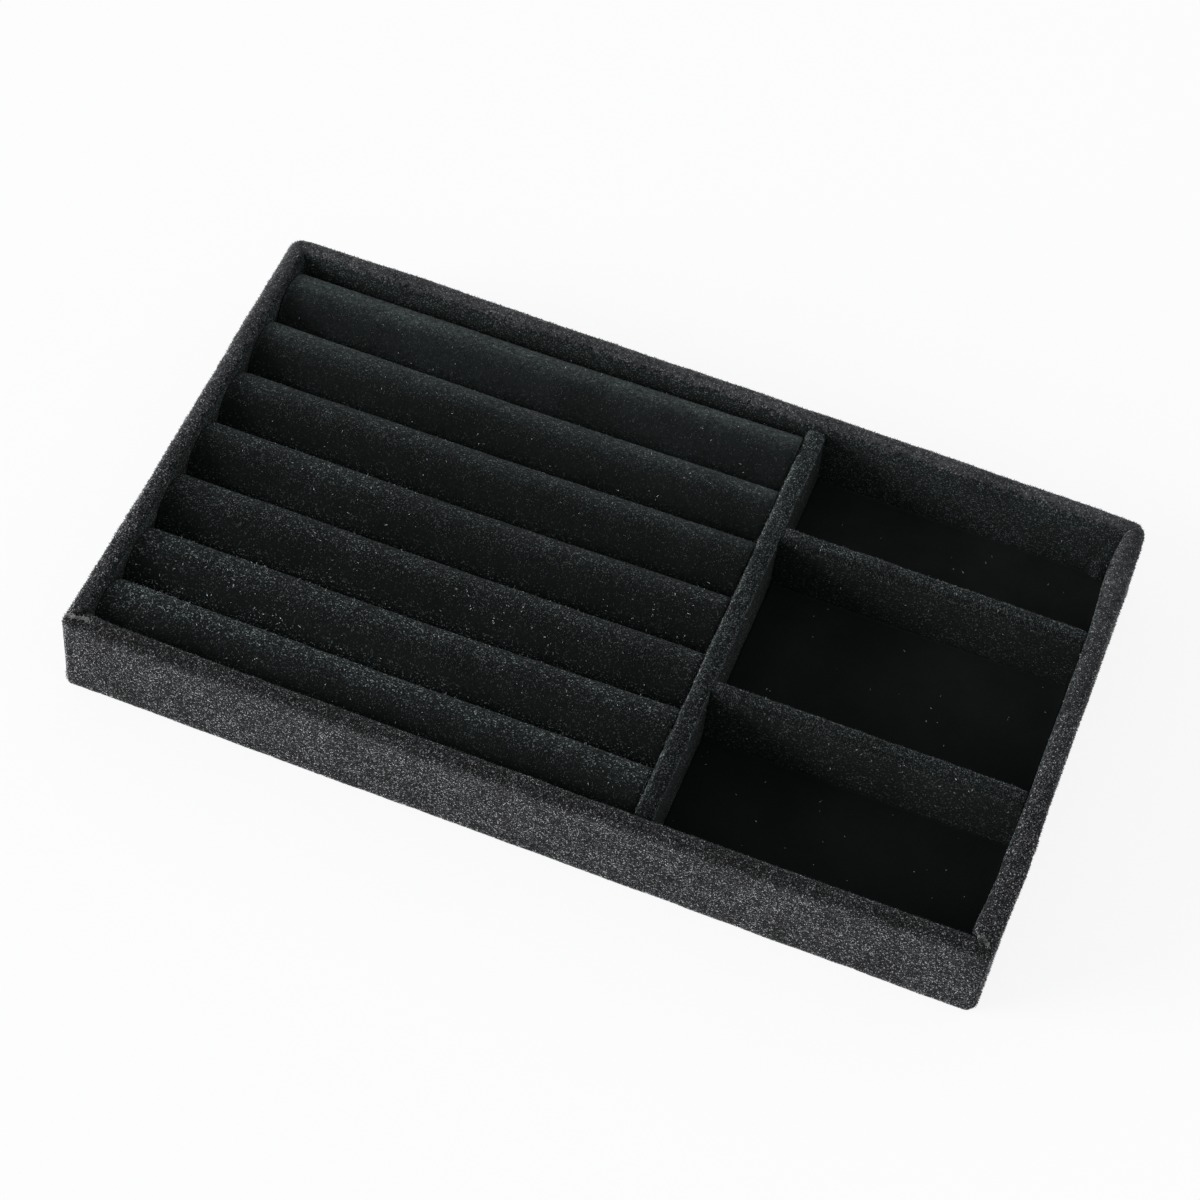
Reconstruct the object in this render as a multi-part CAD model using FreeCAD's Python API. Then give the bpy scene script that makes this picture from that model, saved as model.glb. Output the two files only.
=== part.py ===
import FreeCAD, Part
import os

# Velvet jewelry tray: a boarded box with a lift-out pad of ring rolls and three open compartments.
# Millimetres, +Z up. The origin is the middle of the underside, on the surface that the tray stands on.
# +X runs along the tray from the ring rolls to the compartments, and +Y from the front wall to the back wall.

# Overall size, over the velvet
tray_length = 242.0
tray_width = 142.0
tray_height = 27.0

# Sheet goods
wall_board = 3.4
base_board = 3.0
velvet = 0.8
underside_sheet = 0.6
glue_line = 0.05
hem_width = 12.0
underside_inset = 4.0

# Rounding of the boards under the velvet
rim_outer_radius = 1.2
rim_inner_radius = 0.6
foot_radius = 0.8
corner_radius = 1.8
rounding_limit_share = 0.45

# Dividers
divider_card = 3.1
divider_edge_radius = 1.0
long_divider_drop = 1.2
short_divider_drop = 1.6
divider_clearance = 0.15

# Places of the dividers, as clear spaces between velvet faces
ring_bay_length = 144.9
rear_compartment_depth = 33.3
middle_compartment_depth = 48.2

# Compartment floors
floor_card = 1.2
floor_clearance = 0.25

# Ring pad
roll_count = 7
ring_pad_card = 2.0
pad_clearance = 0.4
slot_gap = 0.6
crown_drop = 1.9
crown_rise_limit_share = 0.7
roll_end_length = 2.5
roll_end_fall = 0.6
roll_end_draw_in = 0.3

# How far along a roll's rounded end each section lies, and how much of the fall is left there
roll_end_shares = [(0.0, 1.0), (0.3, 0.4), (1.0, 0.0)]

# Cuts run past the faces that they go through by this much
overrun = 1.0

# Sizes that follow from the ones above
skin = velvet + glue_line
wall_thickness = wall_board + 2 * skin
hem_top = underside_sheet + velvet
base_bottom = hem_top + glue_line
base_top = base_bottom + base_board
inner_left = wall_thickness - tray_length / 2
inner_right = -inner_left
inner_back = tray_width / 2 - wall_thickness
inner_front = -inner_back
divider_thickness = divider_card + 2 * skin
divider_left = inner_left + ring_bay_length
divider_right = divider_left + divider_thickness
rear_divider_back = inner_back - rear_compartment_depth
rear_divider_front = rear_divider_back - divider_thickness
front_divider_back = rear_divider_front - middle_compartment_depth
front_divider_front = front_divider_back - divider_thickness
floor_top = base_top + floor_card + glue_line + velvet
pad_left = inner_left + pad_clearance
pad_right = divider_left - pad_clearance
pad_back = inner_back - pad_clearance
pad_front = inner_front + pad_clearance
roll_pitch = (pad_back - pad_front + slot_gap) / roll_count
roll_width = roll_pitch - slot_gap
roll_bottom = base_top + ring_pad_card
roll_crown = tray_height - crown_drop
half_turn_degrees = 180.0
quarter_turn_degrees = 90.0
up = FreeCAD.Vector(0, 0, 1)
origin = FreeCAD.Vector(0, 0, 0)


def closed_face(path):
    """A plane face from a list of points, where a pair is an arc through its first point to its second."""
    edges = []
    here = path[0]
    for step in path[1:] + [path[0]]:
        if isinstance(step, tuple):
            edges.append(Part.Arc(here, step[0], step[1]).toShape())
            here = step[1]
        else:
            edges.append(Part.LineSegment(here, step).toShape())
            here = step
    return Part.Face(Part.Wire(edges))


def arc_step(centre, start, end):
    """The arc about a centre from start to end, as the point halfway round it and the end."""
    half_way = (start - centre) + (end - centre)
    half_way.normalize()
    return centre + half_way * (start - centre).Length, end


def block(low, high):
    """A box between two corners."""
    size = high - low
    return Part.makeBox(size.x, size.y, size.z, low)


def rounded_prism(inset, radius, bottom, top):
    """The tray's plan, drawn in by an inset, with round corners, between two heights."""
    x = tray_length / 2 - inset
    y = tray_width / 2 - inset
    path = []
    for sx, sy, along_x in ((1, -1, True), (1, 1, False), (-1, 1, True), (-1, -1, False)):
        centre = FreeCAD.Vector(sx * (x - radius), sy * (y - radius), bottom)
        on_y_side = centre + FreeCAD.Vector(0, sy * radius, 0)
        on_x_side = centre + FreeCAD.Vector(sx * radius, 0, 0)
        start, end = (on_y_side, on_x_side) if along_x else (on_x_side, on_y_side)
        path += [start, arc_step(centre, start, end)]
    return closed_face(path).extrude(up * (top - bottom))


def limited(radius, thickness):
    """A rounding that never takes more than its share of a board's thickness."""
    return min(radius, rounding_limit_share * thickness)


# Walls
# A wall is drawn as the back wall of a tray of a given run and reach, in the plane across its run:
# out is the distance outwards from the wall's inner velvet face, and z the height.


def wall_outline(run, reach, inset, closing):
    """The wall's section, drawn in by an inset from the velvet's surface, closed along the given points."""
    outer = limited(rim_outer_radius, wall_board) + skin - inset
    inner = limited(rim_inner_radius, wall_board) + skin - inset
    foot = limited(foot_radius, base_board) + skin - inset
    inner_face = inset
    outer_face = wall_thickness - inset
    top = tray_height - inset
    bottom = underside_sheet + inset

    def at(out, z):
        return FreeCAD.Vector(-run / 2, reach - wall_thickness + out, z)

    inner_centre = at(inner_face + inner, top - inner)
    outer_centre = at(outer_face - outer, top - outer)
    foot_centre = at(outer_face - foot, bottom + foot)
    inner_end = at(inner_face + inner, top)
    outer_start = at(outer_face - outer, top)
    outer_end = at(outer_face, top - outer)
    foot_start = at(outer_face, bottom + foot)
    foot_end = at(outer_face - foot, bottom)
    rim_start = at(inner_face, top - inner)
    path = [at(inner_face, base_top), rim_start, arc_step(inner_centre, rim_start, inner_end)]
    path += [outer_start, arc_step(outer_centre, outer_start, outer_end)]
    if closing:
        path += [foot_start, arc_step(foot_centre, foot_start, foot_end)]
        path += [at(out, z) for out, z in closing]
    else:
        path.append(at(outer_face, base_top))
    return closed_face(path)


def mitred(solid, run, reach):
    """The part of a wall between the two mitre planes at its ends."""
    depth = hem_width + overrun
    bottom = -overrun
    half = run / 2
    corners = [(-half, reach), (half, reach), (half - depth, reach - depth), (depth - half, reach - depth)]
    plan = closed_face([FreeCAD.Vector(x, y, bottom) for x, y in corners])
    return solid.common(plan.extrude(up * (tray_height + 2 * overrun)))


def wall_velvet(run, reach, turn):
    """A wall's velvet: from the inner foot over the rim, down the outside and under the base as a hem."""
    along = FreeCAD.Vector(run, 0, 0)
    hem_end = wall_thickness - hem_width
    envelope = wall_outline(run, reach, 0, [(hem_end, underside_sheet), (hem_end, base_top)])
    hollow_end = hem_end - overrun
    hollow = wall_outline(run, reach, velvet, [(hollow_end, hem_top), (hollow_end, base_top)])
    solid = mitred(envelope.extrude(along), run, reach)
    cavity = hollow.extrude(along)
    for shape in (solid, cavity):
        shape.rotate(origin, up, turn)
    solid = solid.common(rounded_prism(0, corner_radius + skin, 0, tray_height))
    return solid.cut(cavity.common(rounded_prism(velvet, corner_radius + glue_line, 0, tray_height)))


def wall_core(run, reach, turn):
    """A wall's board, standing on the base board and mitred at both ends."""
    board = mitred(wall_outline(run, reach, skin, []).extrude(FreeCAD.Vector(run, 0, 0)), run, reach)
    board.rotate(origin, up, turn)
    return board.common(rounded_prism(skin, corner_radius, 0, tray_height))


def walls():
    """The four wall boards and the four strips of velvet over them."""
    sides = {
        "back": (tray_length, tray_width / 2, 0),
        "left": (tray_width, tray_length / 2, quarter_turn_degrees),
        "front": (tray_length, tray_width / 2, half_turn_degrees),
        "right": (tray_width, tray_length / 2, -quarter_turn_degrees),
    }
    made = {}
    for side, (run, reach, turn) in sides.items():
        made[side + "_wall_board"] = wall_core(run, reach, turn)
        made[side + "_wall_velvet"] = wall_velvet(run, reach, turn)
    return made


# Base


def base():
    """The base board, with its lower edge rounded for the velvet, and the sheet that covers the hems."""
    board = rounded_prism(skin, corner_radius, base_bottom, base_top)
    lower_edges = [e for e in board.Edges if e.BoundBox.ZMax < base_bottom + base_board / 2]
    board = board.makeFillet(limited(foot_radius, base_board), lower_edges)
    sheet = rounded_prism(underside_inset, corner_radius, 0, underside_sheet)
    return {"base_board": board, "underside_sheet": sheet}


# Dividers
# A divider is drawn across its run as a card with a round top edge, and the velvet is folded over it.


def divider_outline(inset, top, bottom):
    """A divider's section about its own middle, drawn in by an inset from the velvet's surface."""
    half = divider_thickness / 2 - inset
    radius = limited(divider_edge_radius, divider_card) + skin - inset
    crest = top - inset
    left = FreeCAD.Vector(0, -half, crest - radius)
    right = FreeCAD.Vector(0, half, crest - radius)
    left_centre = left + FreeCAD.Vector(0, radius, 0)
    right_centre = right - FreeCAD.Vector(0, radius, 0)
    left_top = left_centre + up * radius
    right_top = right_centre + up * radius
    path = [FreeCAD.Vector(0, -half, bottom), left, arc_step(left_centre, left, left_top), right_top]
    path += [arc_step(right_centre, right_top, right), FreeCAD.Vector(0, half, bottom)]
    return closed_face(path)


def divider(name, length, drop, turn, start):
    """A divider's card and the velvet over it, from a start point at the middle of one end."""
    top = tray_height - drop
    along = FreeCAD.Vector(length, 0, 0)
    card = divider_outline(skin, top, base_top).extrude(along)
    cavity = divider_outline(velvet, top, base_top - overrun).extrude(along)
    cover = divider_outline(0, top, base_top).extrude(along).cut(cavity)
    for shape in (card, cover):
        shape.rotate(origin, up, turn)
        shape.translate(start)
    return {name + "_card": card, name + "_velvet": cover}


def dividers():
    """The long divider beside the ring rolls and the two short ones between the compartments."""
    across = inner_back - inner_front - 2 * divider_clearance
    short = inner_right - divider_right - 2 * divider_clearance
    middle_x = (divider_left + divider_right) / 2
    long_start = FreeCAD.Vector(middle_x, inner_front + divider_clearance, 0)
    made = divider("long_divider", across, long_divider_drop, quarter_turn_degrees, long_start)
    for name, back in (("rear_divider", rear_divider_back), ("front_divider", front_divider_back)):
        start = FreeCAD.Vector(divider_right + divider_clearance, back - divider_thickness / 2, 0)
        made.update(divider(name, short, short_divider_drop, 0, start))
    return made


# Compartment floors


def floors():
    """A card with a velvet lining on the floor of each compartment."""
    spans = {
        "rear": (rear_divider_back, inner_back),
        "middle": (front_divider_back, rear_divider_front),
        "front": (inner_front, front_divider_front),
    }
    card_top = base_top + floor_card
    made = {}
    for name, (front, back) in spans.items():
        left = divider_right + floor_clearance
        right = inner_right - floor_clearance
        near = front + floor_clearance
        far = back - floor_clearance
        card_low = FreeCAD.Vector(left, near, base_top)
        lining_low = FreeCAD.Vector(left, near, card_top + glue_line)
        made[name + "_floor_card"] = block(card_low, FreeCAD.Vector(right, far, card_top))
        made[name + "_floor_velvet"] = block(lining_low, FreeCAD.Vector(right, far, floor_top))
    return made


# Ring pad
# Each roll is a foam core in a velvet cover: straight sides below, a round crown, and ends that fall away.


def roll_section(x, middle, inset, fall_share, bottom):
    """A roll's section at one place along it, drawn in by an inset and by its share of the end's fall."""
    half = roll_width / 2 - inset - fall_share * roll_end_draw_in
    crown = roll_crown - inset - fall_share * roll_end_fall
    rise = min(half, crown_rise_limit_share * (crown - roll_bottom))
    spring = crown - rise
    diagonal_share = 0.5 ** 0.5
    shoulder = spring + diagonal_share * rise
    top = FreeCAD.Vector(x, middle, crown)
    corners = [FreeCAD.Vector(x, middle + side * half, spring) for side in (-1, 1)]
    shoulders = [FreeCAD.Vector(x, middle + side * diagonal_share * half, shoulder) for side in (-1, 1)]
    feet = [FreeCAD.Vector(x, middle + side * half, bottom) for side in (-1, 1)]
    edges = [Part.LineSegment(feet[0], corners[0]), Part.Arc(corners[0], shoulders[0], top)]
    edges += [Part.Arc(top, shoulders[1], corners[1]), Part.LineSegment(corners[1], feet[1])]
    edges.append(Part.LineSegment(feet[1], feet[0]))
    return Part.Wire([edge.toShape() for edge in edges])


def roll_solid(middle, inset, bottom):
    """A roll, or what lies inside its cover, as one solid through its sections from end to end."""
    left = [(pad_left + inset + share * roll_end_length, fall) for share, fall in roll_end_shares]
    right = [(pad_right - inset - share * roll_end_length, fall) for share, fall in reversed(roll_end_shares)]
    sections = [roll_section(x, middle, inset, fall, bottom) for x, fall in left + right]
    return Part.makeLoft(sections, True, True)


def ring_pad():
    """The card that lifts out with the seven rolls on it, each a foam core in a velvet cover."""
    low = FreeCAD.Vector(pad_left, pad_front, base_top)
    made = {"ring_pad_card": block(low, FreeCAD.Vector(pad_right, pad_back, roll_bottom))}
    for number in range(roll_count):
        middle = pad_back - roll_width / 2 - number * roll_pitch
        name = "ring_roll_" + str(number + 1)
        cavity = roll_solid(middle, velvet, roll_bottom - overrun)
        made[name + "_foam"] = roll_solid(middle, skin, roll_bottom)
        made[name + "_velvet"] = roll_solid(middle, 0, roll_bottom).cut(cavity)
    return made


def single_solid(name, shape):
    """The one solid that a piece is made of."""
    if len(shape.Solids) != 1 or not shape.isValid():
        raise ValueError(name + " is not one sound solid")
    return shape.Solids[0]


os.makedirs("parts", exist_ok=True)
for group in (base(), walls(), dividers(), floors(), ring_pad()):
    for node, shape in group.items():
        solid = single_solid(node, shape)
        solid.exportStep("parts/" + node + ".step")
        print(node, "volume", round(solid.Volume), "mm3")
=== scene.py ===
# %% [markdown]
# # A velvet jewelry tray with ring rolls
# The tray is a shallow box of board covered all over in black pile velvet. Seven padded rolls hold rings,
# and three open compartments lie beside them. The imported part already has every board, card and joint in
# place, so this lesson only dresses it: each strip of velvet is made as the flat cut that a box maker would
# wrap round the boards. Lengths are in millimetres until they reach Blender, and the main sizes are read
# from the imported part.

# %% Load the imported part
import math

import bmesh
import bpy
import numpy as np
from mathutils import Matrix, Vector, noise


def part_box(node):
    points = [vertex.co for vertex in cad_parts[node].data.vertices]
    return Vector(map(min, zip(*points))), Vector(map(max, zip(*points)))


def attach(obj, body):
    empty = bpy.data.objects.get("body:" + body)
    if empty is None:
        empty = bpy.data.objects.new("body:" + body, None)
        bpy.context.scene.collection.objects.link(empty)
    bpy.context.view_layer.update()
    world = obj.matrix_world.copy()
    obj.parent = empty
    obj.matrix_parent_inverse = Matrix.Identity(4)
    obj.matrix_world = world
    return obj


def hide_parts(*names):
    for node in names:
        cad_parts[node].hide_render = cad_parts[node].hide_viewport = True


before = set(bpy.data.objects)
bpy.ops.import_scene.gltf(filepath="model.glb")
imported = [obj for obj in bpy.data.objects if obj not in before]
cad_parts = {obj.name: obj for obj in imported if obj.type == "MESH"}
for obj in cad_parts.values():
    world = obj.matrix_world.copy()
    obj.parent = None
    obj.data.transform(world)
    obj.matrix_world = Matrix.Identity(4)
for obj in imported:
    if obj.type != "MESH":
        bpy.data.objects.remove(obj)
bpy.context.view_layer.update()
mm = 0.001
X, Y, Z = range(3)


def span(node, axis):
    """Where a CAD node starts and ends along an axis, to a hundredth of a millimetre."""
    return [round(corner[axis] / mm, 2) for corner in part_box(node)]


# %% [markdown]
# ## Camera
# The tray is seen from the front right and from well above, with a long lens and a slightly tilted horizon.
# A camera could be aimed with a constraint, but here its three axes are written as the columns of its matrix.
# That keeps the tilt exact, and a moved camera in another view has nothing to undo.

# %% Camera
def added(name, data):
    """A new object in the scene."""
    thing = bpy.data.objects.new(name, data)
    bpy.context.scene.collection.objects.link(thing)
    return thing


azimuth, elevation, tilt = (math.radians(degrees) for degrees in (15.17, 52.97, 7.18))
eye = Vector((133.06, -504.97, 706.08)) * mm
level_share = math.cos(elevation)
back = Vector((math.sin(azimuth) * level_share, -math.cos(azimuth) * level_share, math.sin(elevation)))
level_right = Vector((math.cos(azimuth), math.sin(azimuth), 0))
level_up = back.cross(level_right)
right = level_right * math.cos(tilt) + level_up * math.sin(tilt)
up = level_up * math.cos(tilt) - level_right * math.sin(tilt)

camera = added("camera", bpy.data.cameras.new("camera"))
camera.data.sensor_width = 36
camera.data.lens = 101.58
camera.data.clip_start = 0.01
camera.matrix_world = Matrix.Translation(eye) @ Matrix((right, up, back)).transposed().to_4x4()
bpy.context.scene.camera = camera
print("camera at", [round(x, 3) for x in eye], "lens", camera.data.lens)

# %% [markdown]
# ## Light and floor
# Black velvet shows little but its sheen, and the shade inside the tray shows where the light stands. A
# picture of a studio could light it, but a lamp is easier to place. So one large soft lamp stands low at the
# left, where the long divider shades the compartments beside it, and a pale sky fills the rest. The floor
# looks almost white to the camera, and keeps a faint shadow of the tray.

# %% Node trees
studio_white = (0.995, 0.995, 1, 1)


def node_material(name):
    """A new material and its empty node tree."""
    material = bpy.data.materials.new(name)
    material.use_nodes = True
    material.node_tree.nodes.clear()
    return material, material.node_tree


def shader_node(tree, kind, values):
    """A new node with values on its sockets, or a link where a value is another node's output."""
    made = tree.nodes.new("ShaderNode" + kind)
    for socket, value in values.items():
        if isinstance(value, bpy.types.NodeSocket):
            tree.links.new(value, made.inputs[socket])
        else:
            made.inputs[socket].default_value = value
    return made


def seen_directly(tree):
    """A factor that is 1 for what the camera sees by itself, in a mirror or through glass."""
    path = shader_node(tree, "LightPath", {})
    seen = path.outputs["Is Camera Ray"]
    for other_way in ("Is Glossy Ray", "Is Transmission Ray"):
        either = shader_node(tree, "Math", {0: seen, 1: path.outputs[other_way]})
        either.operation = "MAXIMUM"
        seen = either.outputs[0]
    return seen


def shared_out(tree, share, first, second):
    """A shader between two others, by the share of the second one."""
    return shader_node(tree, "MixShader", {"Fac": share, 1: first, 2: second}).outputs[0]


def as_mesh(name, shape):
    """A mesh made from a bmesh, which is freed."""
    mesh = bpy.data.meshes.new(name)
    shape.to_mesh(mesh)
    shape.free()
    return mesh


print("white of the studio:", studio_white[:3])

# %% Floor
white_share, floor_half, floor_drop = 0.88, 6, 0.2
floor_material, floor_tree = node_material("studio_floor")
paper = shader_node(floor_tree, "BsdfDiffuse", {"Color": (0.97, 0.97, 0.98, 1)})
glow = shader_node(floor_tree, "Emission", {"Color": studio_white})
whitened = shader_node(floor_tree, "Math", {0: seen_directly(floor_tree), 1: white_share})
whitened.operation = "MULTIPLY"
floor_look = shared_out(floor_tree, whitened.outputs[0], paper.outputs[0], glow.outputs[0])
shader_node(floor_tree, "OutputMaterial", {"Surface": floor_look})

floor_sheet = bmesh.new()
bmesh.ops.create_grid(floor_sheet, x_segments=1, y_segments=1, size=floor_half)
bmesh.ops.translate(floor_sheet, verts=floor_sheet.verts, vec=(0, 0, -floor_drop * mm))
floor = added("studio_floor", as_mesh("studio_floor", floor_sheet))
floor.data.materials.append(floor_material)
print("floor is", round(floor.dimensions.x, 1), "m across")

# %% Sky and lamp
world = bpy.data.worlds.new("studio_sky")
world.use_nodes = True
sky = world.node_tree
sky.nodes.clear()
soft_sky = shader_node(sky, "Background", {"Color": (0.96, 0.98, 1, 1), "Strength": 0.6})
white_sky = shader_node(sky, "Background", {"Color": studio_white, "Strength": 1})
sky_look = shared_out(sky, seen_directly(sky), soft_sky.outputs[0], white_sky.outputs[0])
shader_node(sky, "OutputWorld", {"Surface": sky_look})
bpy.context.scene.world = world

lamp_place = Vector((-4.6, -2.6, 1.5))
lamp = added("left_lamp", bpy.data.lights.new("left_lamp", "AREA"))
lamp.data.size = 3.0
lamp.data.energy = 355
lamp.location = lamp_place
lamp.rotation_mode = "QUATERNION"
lamp.rotation_quaternion = (-lamp_place).to_track_quat("-Z", "Y")
bpy.context.scene.view_settings.view_transform = "Standard"
print("lamp:", lamp.name, lamp.data.energy, "W")

# %% [markdown]
# ## Velvet
# Pile velvet is a carpet of very short fibres. Seen from above it is almost black, because the eye looks
# down between them. Seen at a low angle, the sides of the fibres catch the light, each tuft a little
# differently. The pile could be grown as millions of hairs, but they are slow to render and heavy. So a
# sheen is painted into the base colour: it gets brighter as the cloth turns away from the eye, times a
# grain in which each small cell is a tuft. Towards the back the tufts merge into soft patches. The
# painted sheen is strong where the nap is brushed up, on the outside and the rims, and weak where it lies
# flat, inside and on the floors; there the darker velvet is partly painted shade as well. On top of it,
# painted light and shade make each velvet lighter or darker from the front of the tray to its back.

# %% Textures, ramps and mixes
cool, plain = (0.86, 1.04, 1.04), (0.98, 0.99, 1.03)


def textured(tree, kind, scale, **settings):
    """A texture on the object's own coordinates, repeated about scale times to the metre."""
    place = shader_node(tree, "TexCoord", {}).outputs["Object"]
    return shader_node(tree, kind, {"Vector": place, "Scale": scale, **settings})


def cell_shade(tree, cells_to_metre):
    """A random value for each small cell of the object's space."""
    cells = textured(tree, "TexVoronoi", cells_to_metre)
    return shader_node(tree, "SeparateColor", {"Color": cells.outputs["Color"]}).outputs["Red"]


def ramp(tree, source, stops):
    """Colours picked along a ramp by a value; each stop is its position and its grey or colour."""
    colours = shader_node(tree, "ValToRGB", {"Fac": source})
    while len(colours.color_ramp.elements) < len(stops):
        colours.color_ramp.elements.new(0.5)
    for element, (position, tone) in zip(colours.color_ramp.elements, stops):
        element.position = position
        element.color = (tone, tone, tone, 1) if isinstance(tone, float) else (*tone, 1)
    return colours.outputs["Color"]


def mixed(tree, way, first, second):
    """Two colours mixed all the way in one of the blend modes."""
    mix = shader_node(tree, "Mix", {})
    mix.data_type = "RGBA"
    mix.blend_type = way
    mix.inputs["Factor"].default_value = 1
    tree.links.new(first, mix.inputs["A"])
    tree.links.new(second, mix.inputs["B"])
    return mix.outputs["Result"]


def bumped(tree, height, strength, rise):
    """A normal that follows a texture's height, with its rise in millimetres."""
    bump = shader_node(tree, "Bump", {"Strength": strength, "Distance": rise * mm, "Height": height})
    return bump.outputs["Normal"]


def tinted(stops, tint):
    """The stops of a grey ramp in a tint."""
    return [(at, tuple(tone * part for part in tint)) for at, tone in stops]


print("a cool tint of white:", tinted([(1.0, 1.0)], cool))

# %% Tufts
patches_to_metre, patch_stops = 900, [(0.3, 0.4), (0.7, 1.6)]
depth_reach, merging_from = 66, 0.3


def depth_share(tree):
    """A value that runs from 0 at the front of the tray to 1 at its back."""
    place = shader_node(tree, "TexCoord", {}).outputs["Object"]
    depth = shader_node(tree, "SeparateXYZ", {"Vector": place}).outputs["Y"]
    limits = {"From Min": -depth_reach * mm, "From Max": depth_reach * mm}
    return shader_node(tree, "MapRange", {"Value": depth, **limits}).outputs["Result"]


def tuft_grain(tree, depth, grain, grain_left):
    """The brightness of each tuft, of which only a share is left at the back, where the tufts merge."""
    tufts_to_metre, spread = grain
    speckle = ramp(tree, cell_shade(tree, tufts_to_metre), spread)
    merged = textured(tree, "TexNoise", patches_to_metre, Detail=1.0)
    patches = ramp(tree, merged.outputs["Fac"], patch_stops)
    faded = mixed(tree, "MIX", patches, speckle)
    tuft_share = ramp(tree, depth, [(merging_from, 1.0), (1.0, grain_left)])
    tree.links.new(tuft_share, faded.node.inputs["Factor"])
    return faded


print("tufts merge behind", round(depth_reach * (2 * merging_from - 1)), "mm")

# %% Velvet with a painted sheen
fibres_to_metre, fibre_rise = 2600, 0.25
nap_to_metre, nap_stops, ground_stops = 70, [(0.3, 0.75), (0.7, 1.25)], [(0.3, 0.8), (0.7, 1.2)]
all_alike = [(0.0, 1.0), (1.0, 1.0)]


def painted_sheen_velvet(name, ground, painted_sheen_tones, grain, tint, painted_light_front_to_back=all_alike, grain_left=0.85):
    """Black pile velvet: ground tone, painted sheen by turn from the eye, tufts, tint, painted light."""
    material, tree = node_material(name)
    fibres = textured(tree, "TexNoise", fibres_to_metre, Detail=2.0, Roughness=0.6)
    normal = bumped(tree, fibres.outputs["Fac"], strength=0.5, rise=fibre_rise)
    # Painted sheen: the base colour gets brighter as the cloth turns away from the eye.
    turned = shader_node(tree, "LayerWeight", {"Blend": 0.5, "Normal": normal})
    sheen = ramp(tree, turned.outputs["Facing"], tinted(painted_sheen_tones, tint))
    depth = depth_share(tree)
    speckled = mixed(tree, "MULTIPLY", sheen, tuft_grain(tree, depth, grain, grain_left))
    nap = textured(tree, "TexNoise", nap_to_metre, Detail=3.0).outputs["Fac"]
    pile = mixed(tree, "MULTIPLY", speckled, ramp(tree, nap, nap_stops))
    dark_stops = tinted([(at, tone * ground) for at, tone in ground_stops], tint)
    whole = mixed(tree, "ADD", pile, ramp(tree, nap, dark_stops))
    # Painted light and shade: the colour is made lighter or darker from the front of the tray to its back.
    colour = mixed(tree, "MULTIPLY", whole, ramp(tree, depth, painted_light_front_to_back))
    velvet = shader_node(tree, "BsdfPrincipled", {
        "Base Color": colour, "Normal": normal, "Roughness": 0.9, "Specular IOR Level": 0.05,
        "Sheen Weight": 0.03, "Sheen Roughness": 0.5})
    shader_node(tree, "OutputMaterial", {"Surface": velvet.outputs[0]})
    return material


print("velvet nap changes", nap_to_metre, "times to the metre")

# %% The velvets of the tray
dense_grain = 4400, [(0.0, 0.0), (0.55, 0.16), (0.8, 0.86), (0.92, 3.0), (1.0, 10.0)]
sparse_grain = 3600, [(0.0, 0.05), (0.5, 0.22), (0.78, 0.75), (0.92, 3.0), (1.0, 14.0)]
flat_grain = 3600, [(0.0, 0.7), (1.0, 1.3)]
# The tones of each velvet are its painted sheen. The inner, divider and floor velvets are darker copies of
# the outer and edge ones, partly for the flat nap and partly as painted shade where less light reaches.
outer_velvet = painted_sheen_velvet(
    "outer_velvet", ground=0.004, grain=dense_grain, tint=plain, grain_left=0.45,
    painted_sheen_tones=[(0.0, 0.02), (0.2, 0.0325), (0.41, 0.035), (0.6, 0.06), (0.8, 0.1), (1.0, 0.19)],
    painted_light_front_to_back=[(0.0, 0.95), (0.06, 1.42), (0.2, 1.42), (0.55, 1.3), (0.8, 1.3), (1.0, 1.5)])
edge_velvet = painted_sheen_velvet(
    "edge_velvet", ground=0.0045, grain=dense_grain, tint=cool,
    painted_sheen_tones=[(0.0, 0.006), (0.2, 0.021), (0.5, 0.046), (0.85, 0.075)],
    painted_light_front_to_back=[(0.15, 0.68), (0.35, 0.86), (0.73, 0.92), (0.9, 1.2)])
inner_velvet = painted_sheen_velvet(
    "inner_velvet", ground=0.005, grain=dense_grain, tint=cool,
    painted_sheen_tones=[(0.0, 0.011), (0.2, 0.0138), (0.41, 0.0142), (0.84, 0.038)])
divider_velvet = painted_sheen_velvet(
    "divider_velvet", ground=0.004, grain=sparse_grain, tint=cool,
    painted_sheen_tones=[(0.0, 0.004), (0.2, 0.0052), (0.41, 0.0056), (0.84, 0.016)],
    painted_light_front_to_back=[(0.3, 1.03), (0.7, 0.88)])
roll_velvet = painted_sheen_velvet(
    "roll_velvet", ground=0.0038, grain=sparse_grain, tint=cool, grain_left=0.2,
    painted_sheen_tones=[(0.0, 0.001), (0.06, 0.002), (0.2, 0.0085), (0.36, 0.02), (0.5, 0.028), (0.75, 0.034)],
    painted_light_front_to_back=[(0.07, 1.28), (0.21, 1.0), (0.36, 0.83), (0.64, 0.87), (0.79, 1.16), (0.93, 1.72)])
floor_velvet = painted_sheen_velvet(
    "floor_velvet", ground=0.0052, grain=flat_grain, tint=cool,
    painted_sheen_tones=[(0.0, 0.0), (0.2, 0.002), (0.5, 0.004)],
    painted_light_front_to_back=[(0.16, 0.86), (0.53, 0.95), (0.87, 1.5)])
velvets = [outer_velvet, edge_velvet, inner_velvet, divider_velvet, roll_velvet, floor_velvet]
print("velvet finishes:", [velvet.name for velvet in velvets])

# %% [markdown]
# ## Boards, cards and the underside
# The stiff pieces hardly show, but they are seen when the pad is lifted out. Grey board and card are pressed
# paper, so they have a fine speckle and a soft mottle. A picture of paper could be wrapped round each piece,
# but a noise texture in the object's own space has no seams and fits them all. The sheet under the tray is
# thin black paper.

# %% Board, card and paper finishes
paper_rise, dark_until, pale_from = 0.1, 0.35, 0.65


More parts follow.
